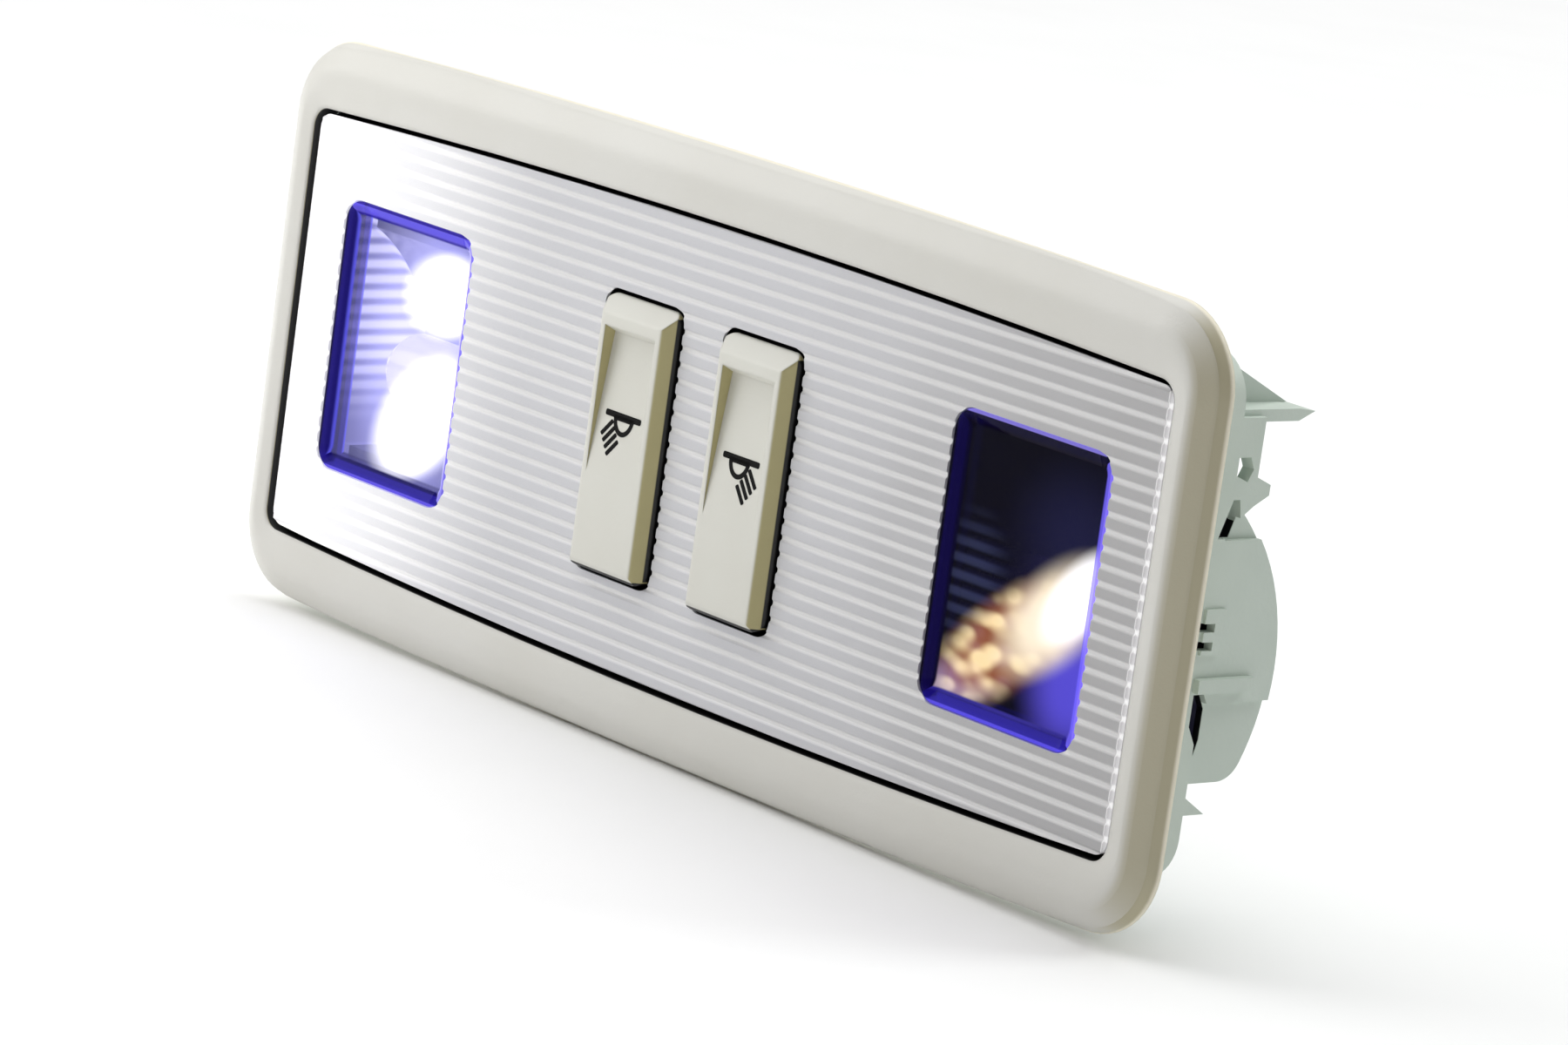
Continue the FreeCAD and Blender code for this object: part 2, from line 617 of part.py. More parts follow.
def make_housing():
    body = new_body("lamp_housing")
    half = "(tray_length / 2)"
    inner_end = "(well_length / 2)"
    tray = rounded(f"-{half}", half, "-tray_height / 2", "tray_height / 2", "tray_corner_radius")
    pad(body, "XZ_Plane", "0", [tray], "tray_depth", True)
    well = rectangle(f"-{inner_end}", inner_end, "-well_height / 2", "well_height / 2")
    pad(body, "XZ_Plane", "0", [well], "well_depth", True)

    band_edge = "sqrt(pod_radius ^ 2 - ({} + pod_axis_drop) ^ 2) - pod_axis_face"
    band = outline([
        ("0", "-band_bottom"),
        (band_edge.format("-band_bottom"), "-band_bottom", "pod_radius"),
        (band_edge.format("band_top"), "band_top"),
        ("0", "band_top"),
    ])
    ledge_top = "(ledge_bottom + ledge_thickness)"
    ledge = outline([
        ("tray_depth - tray_floor", "ledge_bottom"),
        ("ledge_reach - ledge_nose", "ledge_bottom"),
        ("ledge_reach", "ledge_bottom + ledge_nose_rise"),
        ("ledge_reach - ledge_nose", ledge_top),
        ("tray_depth - tray_floor", ledge_top),
    ])
    fin = outline([
        ("tray_depth - tray_floor", "ledge_bottom"),
        ("fin_length", ledge_top),
        ("tray_depth - tray_floor", f"{ledge_top} + fin_height"),
    ])
    leg = outline([
        ("tray_depth - tray_floor", "band_top"),
        ("leg_reach", "leg_foot_height - leg_foot_thickness"),
        ("leg_foot_reach", "leg_foot_height"),
        ("leg_foot_reach", "leg_foot_height + leg_foot_thickness"),
        ("leg_reach", "leg_foot_height + leg_foot_thickness + leg_foot_lean"),
        ("leg_reach", "ledge_bottom + ledge_thickness / 2"),
        ("tray_depth - tray_floor", "ledge_bottom + ledge_thickness / 2"),
    ])
    hole_end = "leg_hole_depth + leg_hole_length"
    leg_hole = outline([
        ("leg_hole_depth", "leg_hole_bottom + leg_hole_lean"),
        (f"{hole_end} - leg_hole_lean", "leg_hole_bottom"),
        (hole_end, "leg_hole_bottom + 2 * leg_hole_lean"),
        (f"{hole_end} - leg_hole_lean", "leg_hole_bottom + leg_hole_height"),
        ("leg_hole_depth", "leg_hole_bottom + leg_hole_height"),
    ])
    slot_boss = rectangle("tray_depth - tray_floor", "slot_boss_reach", "-slot_boss_bottom", "slot_boss_top")
    catch = outline([
        ("tray_depth - tray_floor", "-catch_height"),
        ("tray_depth + catch_reach", "-catch_height"),
        ("tray_depth", "-catch_height + catch_rise"),
        ("tray_depth - tray_floor", "-catch_height + catch_rise"),
    ])
    end_rib = rectangle("tray_depth - tray_floor", "end_rib_reach",
                        "-end_rib_height - end_rib_thickness / 2", "-end_rib_height + end_rib_thickness / 2")
    pod_cavity = barrel("pod_wall")
    tray_inner = rounded(f"-{half} + tray_wall", f"{half} - tray_wall", "-tray_height / 2 + tray_wall",
                         "tray_height / 2 - tray_wall", "(tray_corner_radius - tray_wall)")
    for side in SIDES.values():
        away = side < 0
        pad(body, "YZ_Plane", f"{side} * ({inner_end} - well_wall)", [barrel("0")],
            f"{half} - band_relief - {inner_end} + well_wall", away)
        end_wall = f"{side} * ({half} - tray_wall)"
        pad(body, "YZ_Plane", end_wall, [band, leg, leg_hole, catch], "tray_wall", away)
        pad(body, "YZ_Plane", end_wall, [end_rib], "tray_wall + end_rib_relief", away)
        pad(body, "YZ_Plane", end_wall, [slot_boss], "tray_wall + slot_boss_relief", away)
        for shape, width, inset in ((ledge, "ledge_length", "0"), (fin, "fin_thickness", "fin_inset")):
            inner_face = f"{side} * ({half} - band_relief - {inset} - {width})"
            pad(body, "YZ_Plane", inner_face, [shape], width, away)
    cut(body, "XZ_Plane", "0", [tray_inner], "tray_depth - tray_floor")
    well_inner = rectangle(f"-{inner_end} + well_wall", f"{inner_end} - well_wall",
                           "-well_height / 2 + well_wall", "well_height / 2 - well_wall")
    cut(body, "XZ_Plane", "0", [well_inner], "well_depth - well_floor")
    terminal_holes = []
    studs = []
    for side in SIDES.values():
        cut(body, "YZ_Plane", f"{side} * ({half} - tray_wall)", [pod_cavity],
            f"{half} - tray_wall - {inner_end} - well_wall", side < 0)
        slots = [rectangle("slot_depth", "slot_depth + slot_length", f"{level} - slot_thickness / 2",
                           f"{level} + slot_thickness / 2") for level in ("-slot_upper", "-slot_lower")]
        # openings beside the pod, above and below the raised band
        side_end = "(side_opening_depth + side_opening_length)"
        slots.append(outline([
            ("side_opening_depth", "upper_opening_bottom"),
            (f"{side_end} - slot_thickness / 4", "upper_opening_bottom"),
            (f"{side_end} + slot_thickness / 2", "upper_opening_bottom + upper_opening_height / 2"),
            (side_end, "upper_opening_bottom + upper_opening_height"),
            (f"{side_end} - slot_thickness", "upper_opening_bottom + upper_opening_height"),
        ]))
        slots.append(outline([
            ("side_opening_depth", "-lower_opening_top"),
            ("side_opening_depth", "-lower_opening_top - lower_opening_height / 2"),
            (f"{side_end} - slot_thickness / 2", "-lower_opening_top - lower_opening_height"),
            (side_end, "-lower_opening_top - 3 * lower_opening_height / 4"),
            (side_end, "-lower_opening_top - lower_opening_height / 4"),
            (f"{side_end} - slot_thickness", "-lower_opening_top"),
        ]))
        cut(body, "YZ_Plane", f"{side} * ({half} + cut_margin)", slots, "tray_wall + cut_margin", side < 0)
        stub = circle("bulb_depth", "-bulb_drop", "holder_stub_radius + holder_clearance")
        cut(body, "YZ_Plane", f"{side} * ({inner_end} + well_wall + cut_margin)", [stub],
            "2 * (well_wall + cut_margin)", side < 0)
        for across, up in terminals(side):
            terminal_holes.append(terminal(across, up, "terminal_clearance"))
        # bearing cheeks for the key's trunnions, standing on the floor of the well
        for end in (-1, 1):
            cheek = outline([
                ("well_depth - well_floor", "-pivot_height - bearing_half_width"),
                ("well_depth - well_floor", "-pivot_height + bearing_half_width"),
                ("pivot_depth", "-pivot_height + pivot_radius + bearing_wall",
                 "pivot_radius + bearing_wall"),
                ("pivot_depth - pivot_radius - bearing_wall", "-pivot_height", "pivot_radius + bearing_wall"),
                ("pivot_depth", "-pivot_height - pivot_radius - bearing_wall"),
            ])
            hole = circle("pivot_depth", "-pivot_height", "pivot_radius + pivot_clearance")
            cheek_face = f"{side} * key_centre + {end} * (key_width / 2 + bearing_gap)"
            pad(body, "YZ_Plane", cheek_face, [cheek, hole], "bearing_thickness", end < 0)
        # rivet studs that hold the contact strips on the back of the well
        for up in ("lamp_strip_height", "-supply_height"):
            studs.append(circle(f"{side} * stud_centre", up, "stud_radius"))
    pad(body, "XZ_Plane", "-well_depth + well_floor / 2", studs, "well_floor / 2 + stud_rise", True)
    cut(body, "XZ_Plane", "-well_depth + well_floor + cut_margin", terminal_holes,
        "well_floor + 2 * cut_margin")


def terminals(side):
    # where the switch and holder terminals pass through the floor of the well
    return [
        (f"{side} * key_centre", "ground_height"),
        (f"{side} * key_centre", "lamp_strip_height"),
        (f"{side} * holder_terminal", "-supply_height"),
        (f"{side} * holder_terminal", "supply_height"),
    ]


def terminal(across, up, growth):
    half_width = f"(terminal_width / 2 + {growth})"
    half_thickness = f"(terminal_thickness / 2 + {growth})"
    return rectangle(f"{across} - {half_width}", f"{across} + {half_width}",
                     f"{up} - {half_thickness}", f"{up} + {half_thickness}")


def make_reflector(name, side):
    body = new_body(f"{name}_reflector")
    gap = "pod_wall + reflector_clearance"
    start = "(well_length / 2 + well_wall + reflector_clearance)"
    end = ("(opening_length / 2 - panel_gap - panel_skirt_inset - panel_skirt_wall"
           " - reflector_clearance)")
    seat = "(tray_depth - tray_floor)"
    near_end = f"({start} - reflector_wall)"
    reach = "(window_height / 2 + lens_flange)"
    collar = rectangle("reflector_face_depth", seat, f"-{reach}", reach)
    pad(body, "YZ_Plane", f"{side} * {near_end}", [collar], f"{end} - {near_end}", side < 0)
    pad(body, "YZ_Plane", f"{side} * {start}", [barrel(f"({gap})")], f"{end} - {start}", side < 0)
    open_front = rectangle("0", "reflector_face_depth", f"-{reach} - cut_margin", f"{reach} + cut_margin")
    cut(body, "YZ_Plane", f"{side} * ({end} + cut_margin)", [open_front],
        f"{end} - {start} + 2 * cut_margin", side < 0)
    mouth = rectangle("0", f"{seat} - reflector_wall",
                      f"-{reach} + reflector_wall", f"{reach} - reflector_wall")
    cut(body, "YZ_Plane", f"{side} * ({end} - reflector_wall)", [mouth],
        f"{end} - {near_end} - 2 * reflector_wall", side < 0)
    cut(body, "YZ_Plane", f"{side} * ({end} - reflector_wall)", [barrel(f"({gap} + reflector_wall)")],
        f"{end} - {start} - 2 * reflector_wall", side < 0)
    bulb_hole = circle("bulb_depth", "-bulb_drop", "holder_stub_radius + holder_clearance")
    cut(body, "YZ_Plane", f"{side} * ({start} + 2 * reflector_wall)", [bulb_hole],
        "4 * reflector_wall", side < 0)


def make_bulb(name, side):
    body = new_body(f"{name}_bulb")
    sketch = new_sketch(body, "XZ_Plane", "-bulb_depth")
    tip = "(bulb_start + bulb_length)"
    outline([
        ("bulb_start", "0"),
        (tip, "0"),
        (tip, "bulb_tip_radius"),
        (f"{tip} - bulb_bend_length", "bulb_bend_radius"),
        (f"{tip} - bulb_tip_length", "bulb_radius"),
        ("bulb_start + bulb_shoulder", "bulb_radius"),
        ("bulb_start", "bulb_neck_radius"),
    ])(sketch)
    glass = body.newObject("PartDesign::Revolution", f"{body.Name}_glass")
    glass.Profile = sketch
    glass.ReferenceAxis = (sketch, ["H_Axis"])
    glass.Angle = 360
    glass.recompute(True)
    wedge = rectangle("bulb_depth - wedge_thickness / 2", "bulb_depth + wedge_thickness / 2",
                      "-wedge_width / 2", "wedge_width / 2")
    pad(body, "YZ_Plane", "bulb_start + bulb_shoulder", [wedge], "wedge_length + bulb_shoulder", True)
    # the left-hand bulb points the other way
    body.Placement = Placement(Vector(0, 0, 0), Rotation(Vector(0, 1, 0), 0 if side > 0 else 180))
    body.setExpression("Placement.Base.z", bound("-bulb_drop"))


def make_bulb_holder(name, side):
    body = new_body(f"{name}_bulb_holder")
    wall = "(well_length / 2 - well_wall)"
    floor = "(well_depth - well_floor)"
    away = side < 0
    block = rectangle("holder_front_depth", floor,
                      "-bulb_drop - holder_height / 2", "-bulb_drop + holder_height / 2")
    pad(body, "YZ_Plane", f"{side} * {wall}", [block], "holder_length", not away)
    stub = circle("bulb_depth", "-bulb_drop", "holder_stub_radius")
    pad(body, "YZ_Plane", f"{side} * ({wall} - holder_length / 2)", [stub],
        "holder_length / 2 + holder_stub_length", away)
    half_slot = "(wedge_thickness / 2 + wedge_clearance)"
    half_width = "(wedge_width / 2 + wedge_clearance)"
    slot = rectangle(f"bulb_depth - {half_slot}", f"bulb_depth + {half_slot}",
                     f"-bulb_drop - {half_width}", f"-bulb_drop + {half_width}")
    mouth = f"({wall} + holder_stub_length + cut_margin)"
    cut(body, "YZ_Plane", f"{side} * {mouth}", [slot], f"{mouth} - bulb_start + wedge_length", away)
    legs = [terminal(f"{side} * holder_terminal", up, "0") for up in ("-supply_height", "supply_height")]
    pad(body, "XZ_Plane", f"-{floor}", legs, "well_floor", True)


def make_switch(name, side):
    body = new_body(f"{name}_push_switch")
    centre = f"{side} * key_centre"
    floor = "(well_depth - well_floor)"
    case = rectangle(f"{centre} - switch_width / 2", f"{centre} + switch_width / 2",
                     "switch_height - switch_length / 2", "switch_height + switch_length / 2")
    pad(body, "XZ_Plane", "-switch_depth", [case], f"{floor} - switch_depth", True)
    bore = circle(centre, "switch_height", "plunger_radius + plunger_clearance")
    cut(body, "XZ_Plane", "-switch_depth", [bore], "plunger_bore")
    legs = [terminal(centre, up, "0") for up in ("ground_height", "lamp_strip_height")]
    pad(body, "XZ_Plane", f"-{floor}", legs, "well_floor", True)


def make_plunger(name, side):
    body = new_body(f"{name}_switch_plunger")
    stem = circle(f"{side} * key_centre", "switch_height", "plunger_radius")
    blank = pad(body, "XZ_Plane", "-plunger_tip_depth", [stem], "plunger_length", True)
    tip = value("plunger_tip_depth")
    names = edges_of(blank, lambda box: near(box.YMin, tip) and near(box.YMax, tip))
    bevel(body, blank, names, "plunger_bevel", "plunger_bevel", False)


def make_strips():
    level = "-well_depth"
    half = "(strip_width / 2)"
    supply = new_body("supply_strip")
    reach = "(holder_terminal + terminal_width)"
    bar = rectangle(f"-{reach}", reach, f"-supply_height - {half}", f"-supply_height + {half}")
    holes = [circle(f"{side} * stud_centre", "-supply_height", "stud_radius + stud_clearance")
             for side in SIDES.values()]
    pad(supply, "XZ_Plane", level, [bar, *holes], "strip_thickness", True)
    ground = new_body("ground_strip")
    reach = "(key_centre + terminal_width)"
    bar = rectangle(f"-{reach}", reach, f"ground_height - {half}", f"ground_height + {half}")
    pad(ground, "XZ_Plane", level, [bar], "strip_thickness", True)
    for name, side in SIDES.items():
        lamp = new_body(f"{name}_lamp_strip")
        inner = f"{side} * (key_centre - terminal_width)"
        elbow = f"{side} * (holder_terminal - terminal_width)"
        outer = f"{side} * (holder_terminal + terminal_width)"
        corners = [
            (inner, f"lamp_strip_height - {half}"),
            (elbow, f"lamp_strip_height - {half}"),
            (elbow, f"supply_height - {half}"),
            (outer, f"supply_height - {half}"),
            (outer, f"lamp_strip_height + {half}"),
            (inner, f"lamp_strip_height + {half}"),
        ]
        hole = circle(f"{side} * stud_centre", "lamp_strip_height", "stud_radius + stud_clearance")
        pad(lamp, "XZ_Plane", level, [outline(corners), hole], "strip_thickness", True)


def make_connector():
    socket = new_body("connector_socket")
    base = "(well_depth + strip_thickness)"
    half_width = "(socket_width / 2)"
    half_height = "(socket_height / 2)"
    shell = rectangle(f"-{half_width}", half_width, f"-{half_height}", half_height)
    pad(socket, "XZ_Plane", f"-{base}", [shell], "socket_length", True)
    mouth = rectangle(f"-{half_width} + socket_wall", f"{half_width} - socket_wall",
                      f"-{half_height} + socket_wall", f"{half_height} - socket_wall")
    cut(socket, "XZ_Plane", f"-{base} - socket_base", [mouth], "socket_length")
    feet = [rectangle(f"-{half_width}", half_width, f"{half_height} - socket_foot", half_height),
            rectangle(f"-{half_width}", half_width, f"-{half_height}", f"-{half_height} + socket_foot")]
    pad(socket, "XZ_Plane", f"-{base}", feet, "strip_thickness")

    def blades(growth):
        return [rectangle(f"-blade_width / 2 - {growth}", f"blade_width / 2 + {growth}",
                          f"{up} - blade_thickness / 2 - {growth}", f"{up} + blade_thickness / 2 + {growth}")
                for up in ("-supply_height", "ground_height")]

    cut(socket, "XZ_Plane", f"-{base} + cut_margin", blades("blade_clearance"),
        "socket_base + 2 * cut_margin")
    pins = []
    for up in ("-supply_height", "ground_height"):
        pin = doc.addObject("Part::Box", "blade")
        pin.setExpression("Length", bound("blade_width"))
        pin.setExpression("Width", bound("blade_length"))
        pin.setExpression("Height", bound("blade_thickness"))
        pin.setExpression("Placement.Base.x", bound("-blade_width / 2"))
        pin.setExpression("Placement.Base.y", bound(base))
        pin.setExpression("Placement.Base.z", bound(f"{up} - blade_thickness / 2"))
        pins.append(pin)
    group = doc.addObject("Part::Compound", "connector_pins")
    group.Label = "connector_pins"
    group.Links = pins
    NODES.append(group)


make_bezel()
make_panel()
make_housing()
for side_name, side_sign in SIDES.items():
    make_lens(side_name, side_sign)
    make_key(side_name, side_sign)
    make_reflector(side_name, side_sign)
    make_bulb(side_name, side_sign)
    make_bulb_holder(side_name, side_sign)
    make_switch(side_name, side_sign)
    make_plunger(side_name, side_sign)
make_strips()
make_connector()
doc.recompute()

for item in doc.Objects:
    if "Invalid" in item.State or "Error" in item.State:
        raise ValueError(f"{item.Name} failed: {item.State}")
for node in NODES:
    if node.Shape.isNull() or not node.Shape.isValid():
        raise ValueError(f"{node.Label} has no valid shape")

os.makedirs("parts", exist_ok=True)
for node in NODES:
    node.Shape.exportStep(f"parts/{node.Label}.step")
    print(node.Label, len(node.Shape.Solids), round(node.Shape.Volume, 1))
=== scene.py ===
import bpy
import math
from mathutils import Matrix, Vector


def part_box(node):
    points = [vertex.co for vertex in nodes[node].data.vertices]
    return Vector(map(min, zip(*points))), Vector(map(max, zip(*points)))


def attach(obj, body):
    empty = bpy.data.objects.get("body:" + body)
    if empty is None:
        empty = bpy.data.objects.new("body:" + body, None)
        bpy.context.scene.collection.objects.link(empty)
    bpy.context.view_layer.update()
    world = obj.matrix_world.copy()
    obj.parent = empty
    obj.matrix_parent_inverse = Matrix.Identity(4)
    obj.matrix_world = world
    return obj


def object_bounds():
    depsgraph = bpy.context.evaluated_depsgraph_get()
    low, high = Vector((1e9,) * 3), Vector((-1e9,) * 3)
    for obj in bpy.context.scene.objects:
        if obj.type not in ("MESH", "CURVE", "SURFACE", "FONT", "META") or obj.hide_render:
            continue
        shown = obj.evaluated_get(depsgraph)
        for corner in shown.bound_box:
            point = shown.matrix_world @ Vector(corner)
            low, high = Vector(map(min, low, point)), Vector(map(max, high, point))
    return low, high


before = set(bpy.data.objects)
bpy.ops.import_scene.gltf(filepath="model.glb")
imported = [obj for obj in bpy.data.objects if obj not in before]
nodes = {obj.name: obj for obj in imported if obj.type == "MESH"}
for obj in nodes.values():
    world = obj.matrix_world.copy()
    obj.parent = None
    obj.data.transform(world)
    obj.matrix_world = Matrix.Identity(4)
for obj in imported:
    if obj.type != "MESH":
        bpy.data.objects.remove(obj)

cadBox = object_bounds()
sides = {"left": -1, "right": 1}
black = (0.0, 0.0, 0.0, 1.0)
print("frame loaded:", len(nodes), "nodes")


# shader tools

class Wire:
    def __init__(self, tree, socket=None):
        self.tree = tree
        self.socket = socket

    def node(self, kind, settings=None, inputs=None, output=0):
        made = self.tree.nodes.new(kind)
        for name, setting in (settings or {}).items():
            setattr(made, name, setting)
        for name, given in (inputs or {}).items():
            if isinstance(given, Wire):
                self.tree.links.new(given.socket, made.inputs[name])
            else:
                made.inputs[name].default_value = given
        if isinstance(output, tuple):
            return [Wire(self.tree, made.outputs[name]) for name in output]
        return Wire(self.tree, made.outputs[output])

    def maths(self, operation, *values):
        return self.node("ShaderNodeMath", {"operation": operation}, dict(enumerate(values)))

    def __add__(self, other):
        return self.maths("ADD", self, other)

    def __radd__(self, other):
        return self.maths("ADD", other, self)

    def __sub__(self, other):
        return self.maths("SUBTRACT", self, other)

    def __rsub__(self, other):
        return self.maths("SUBTRACT", other, self)

    def __truediv__(self, other):
        return self.maths("DIVIDE", self, other)

    def __mul__(self, other):
        return self.maths("MULTIPLY", self, other)

    def __rmul__(self, other):
        return self.maths("MULTIPLY", other, self)

    def __abs__(self):
        return self.maths("ABSOLUTE", self)


def tone(red, green, blue):  # a colour as read off a picture, 0 to 255
    def linear(part):
        part = part / 255
        return part / 12.92 if part <= 0.04045 else ((part + 0.055) / 1.055) ** 2.4
    return (linear(red), linear(green), linear(blue), 1.0)


def newMaterial(name, **constants):
    material = bpy.data.materials.new(name)
    material.use_nodes = True
    shader = material.node_tree.nodes["Principled BSDF"]
    for socket, given in constants.items():
        shader.inputs[socket.replace("_", " ")].default_value = given
    coords = Wire(material.node_tree).node("ShaderNodeTexCoord", output="Object")
    return material, shader, coords


def feed(shader, socket, wire):
    wire.tree.links.new(wire.socket, shader.inputs[socket])


def split(coords):
    return coords.node("ShaderNodeSeparateXYZ", {}, {0: coords}, ("X", "Y", "Z"))


def noise(coords, scale, detail=2.0):
    inputs = {"Vector": coords, "Scale": scale, "Detail": detail}
    return coords.node("ShaderNodeTexNoise", {}, inputs, "Fac")


def uneven(coords, middle, scale, swing):  # a value that wanders about its middle
    return middle + swing * (noise(coords, scale) - 0.5)


def stretch(coords, scale):
    return coords.node("ShaderNodeMapping", {}, {"Vector": coords, "Scale": scale})


def larger(first, second):
    return first.maths("MAXIMUM", first, second)


def smaller(first, second):
    return first.maths("MINIMUM", first, second)


def stripes(wire, pitch):  # 0 in the middle of each stripe, 0.5 at its edges
    turns = wire / pitch
    return abs(turns.maths("FRACT", turns) - 0.5)


def ease(wire, low, high):  # 0 below low, 1 above high, smooth between
    return wire.node("ShaderNodeMapRange", {"interpolation_type": "SMOOTHSTEP"},
                     {"Value": wire, "From Min": low, "From Max": high})


def within(wire, limit, blur=0.00004):  # 1 where the value is below the limit
    return 1 - ease(wire, limit, limit + blur)


def blendColour(factor, first, second):
    return factor.node("ShaderNodeMix", {"data_type": "RGBA"}, {0: factor, 6: first, 7: second}, 2)


def relief(height, distance, base=None):  # bumps on the surface, or on a normal that is given
    inputs = {"Height": height, "Distance": distance}
    if base:
        inputs["Normal"] = base
    return height.node("ShaderNodeBump", {}, inputs, "Normal")


def dress(names, material):
    for name in names:
        for slot in nodes[name].material_slots:
            slot.material = material


# moulded plastics

# painted shade: a near-black tone for the walls of the gaps between parts, where shade falls
gapLook = {"shade": tone(9, 9, 10), "skin": 0.00006, "openHalf": (0.079, 0.0288),
           "panelHalfHeight": 0.0281, "bow": 1.99}


def bowedHeight(x, z):  # height above the centre line, with the bow of the long edges taken out
    return abs(z) + x * x * (0.5 / gapLook["bow"])


def facingRight(coords):  # how far a surface looks along +X
    normal = coords.node("ShaderNodeTexCoord", output="Normal")
    return split(normal)[0]


def softEdge(coords, radius):  # normal rounded over sharp edges
    return coords.node("ShaderNodeBevel", {"samples": 4}, {"Radius": radius})


bezelLook = {"light": tone(222, 221, 216), "dark": tone(212, 210, 202), "rearHighlight": tone(255, 248, 226),
             "shadeOlive": tone(180, 173, 146), "grain": 2600, "grainDepth": 0.00002, "rearFrom": -0.0007,
             "rearTo": -0.0003, "roughness": 0.45, "sheen": (900, 0.12), "mottle": 45,
             "shadeTurn": (0.12, 0.65), "front": -0.0029, "round": 0.0012}


def makeBezelPlastic():
    look = bezelLook
    material, shader, coords = newMaterial("bezelPlastic", Roughness=look["roughness"])
    x, y, z = split(coords)
    body = blendColour(noise(coords, look["mottle"]), look["dark"], look["light"])
    # painted shade: faces that look to the right turn olive and darker
    body = blendColour(ease(facingRight(coords), *look["shadeTurn"]), body, look["shadeOlive"])
    # painted highlight: the rear edge of the bezel is near white, as if lit from behind
    body = blendColour(ease(y, look["rearFrom"], look["rearTo"]), body, look["rearHighlight"])
    # painted shade: the walls of the opening around the panel are dark, where shade falls in the gap
    length, height = gapLook["openHalf"]
    wall = within(abs(x), length + gapLook["skin"]) * within(bowedHeight(x, z), height + gapLook["skin"])
    wall = wall * ease(y, look["front"], look["front"] + gapLook["skin"])
    feed(shader, "Base Color", blendColour(wall, body, gapLook["shade"]))
    feed(shader, "Roughness", uneven(coords, look["roughness"], *look["sheen"]))
    rounded = softEdge(coords, look["round"])
    feed(shader, "Normal", relief(noise(coords, look["grain"]), look["grainDepth"], rounded))
    return material


keyLook = {"light": tone(224, 224, 216), "dark": tone(214, 212, 202), "shadeOlive": tone(186, 177, 128),
           "grain": 2600, "grainDepth": 0.000015, "roughness": 0.4, "sheen": (900, 0.1), "mottle": 70,
           "shadeTurn": (0.2, 0.8), "round": 0.0005, "side": (0.0065, 0.0066), "foot": -0.01625,
           "sideSkirt": -0.0032, "footSkirt": -0.0041, "shadedSkirt": -0.0022, "blur": 0.00015}


def makeKeyPlastic():
    look = keyLook
    material, shader, coords = newMaterial("keyPlastic", Roughness=look["roughness"])
    x, y, z = split(coords)
    body = blendColour(noise(coords, look["mottle"]), look["dark"], look["light"])
    # painted shade: faces that look to the right turn olive and darker
    body = blendColour(ease(facingRight(coords), *look["shadeTurn"]), body, look["shadeOlive"])
    beside = ease(abs(abs(x) - panelLook["keyAt"]), *look["side"])
    below = within(z, look["foot"])
    # painted shade: the walls that stand in the gaps are dark, and so are the edges of the bevels beside
    # them
    shadedSkirt = ease(y, look["shadedSkirt"], look["shadedSkirt"] + look["blur"])
    for place, level in ((beside, look["sideSkirt"]), (below, look["footSkirt"])):
        shadedSkirt = larger(shadedSkirt, place * ease(y, level, level + look["blur"]))
    feed(shader, "Base Color", blendColour(shadedSkirt, body, gapLook["shade"]))
    feed(shader, "Roughness", uneven(coords, look["roughness"], *look["sheen"]))
    rounded = softEdge(coords, look["round"])
    feed(shader, "Normal", relief(noise(coords, look["grain"]), look["grainDepth"], rounded))
    return material


panelLook = {"rib": tone(178, 177, 178), "litRib": tone(204, 204, 208), "valleyHighlight": tone(231, 230, 230),
             "pitch": 0.00196, "crest": (0.00048, 0.00086), "roughness": 0.35, "sheen": (1.0, 0.15),
             "brush": (60, 1200, 1200), "cloud": 40, "cloudDrift": 0.04, "light": (1.0, 0.99, 1.0, 1.0),
             "keyAt": 0.011, "keyHoleHalf": 0.0074, "keyHoleHeight": 0.01735, "face": -0.0024,
             "endFrom": 0.0010, "endTo": 0.0014, "rightFrom": 0.012, "rightTo": 0.075,
             "glowFrom": 0.030, "glowTo": 0.072, "glow": 0.40, "ribEnd": (0.0776, 0.0777), "endGlow": 0.32}


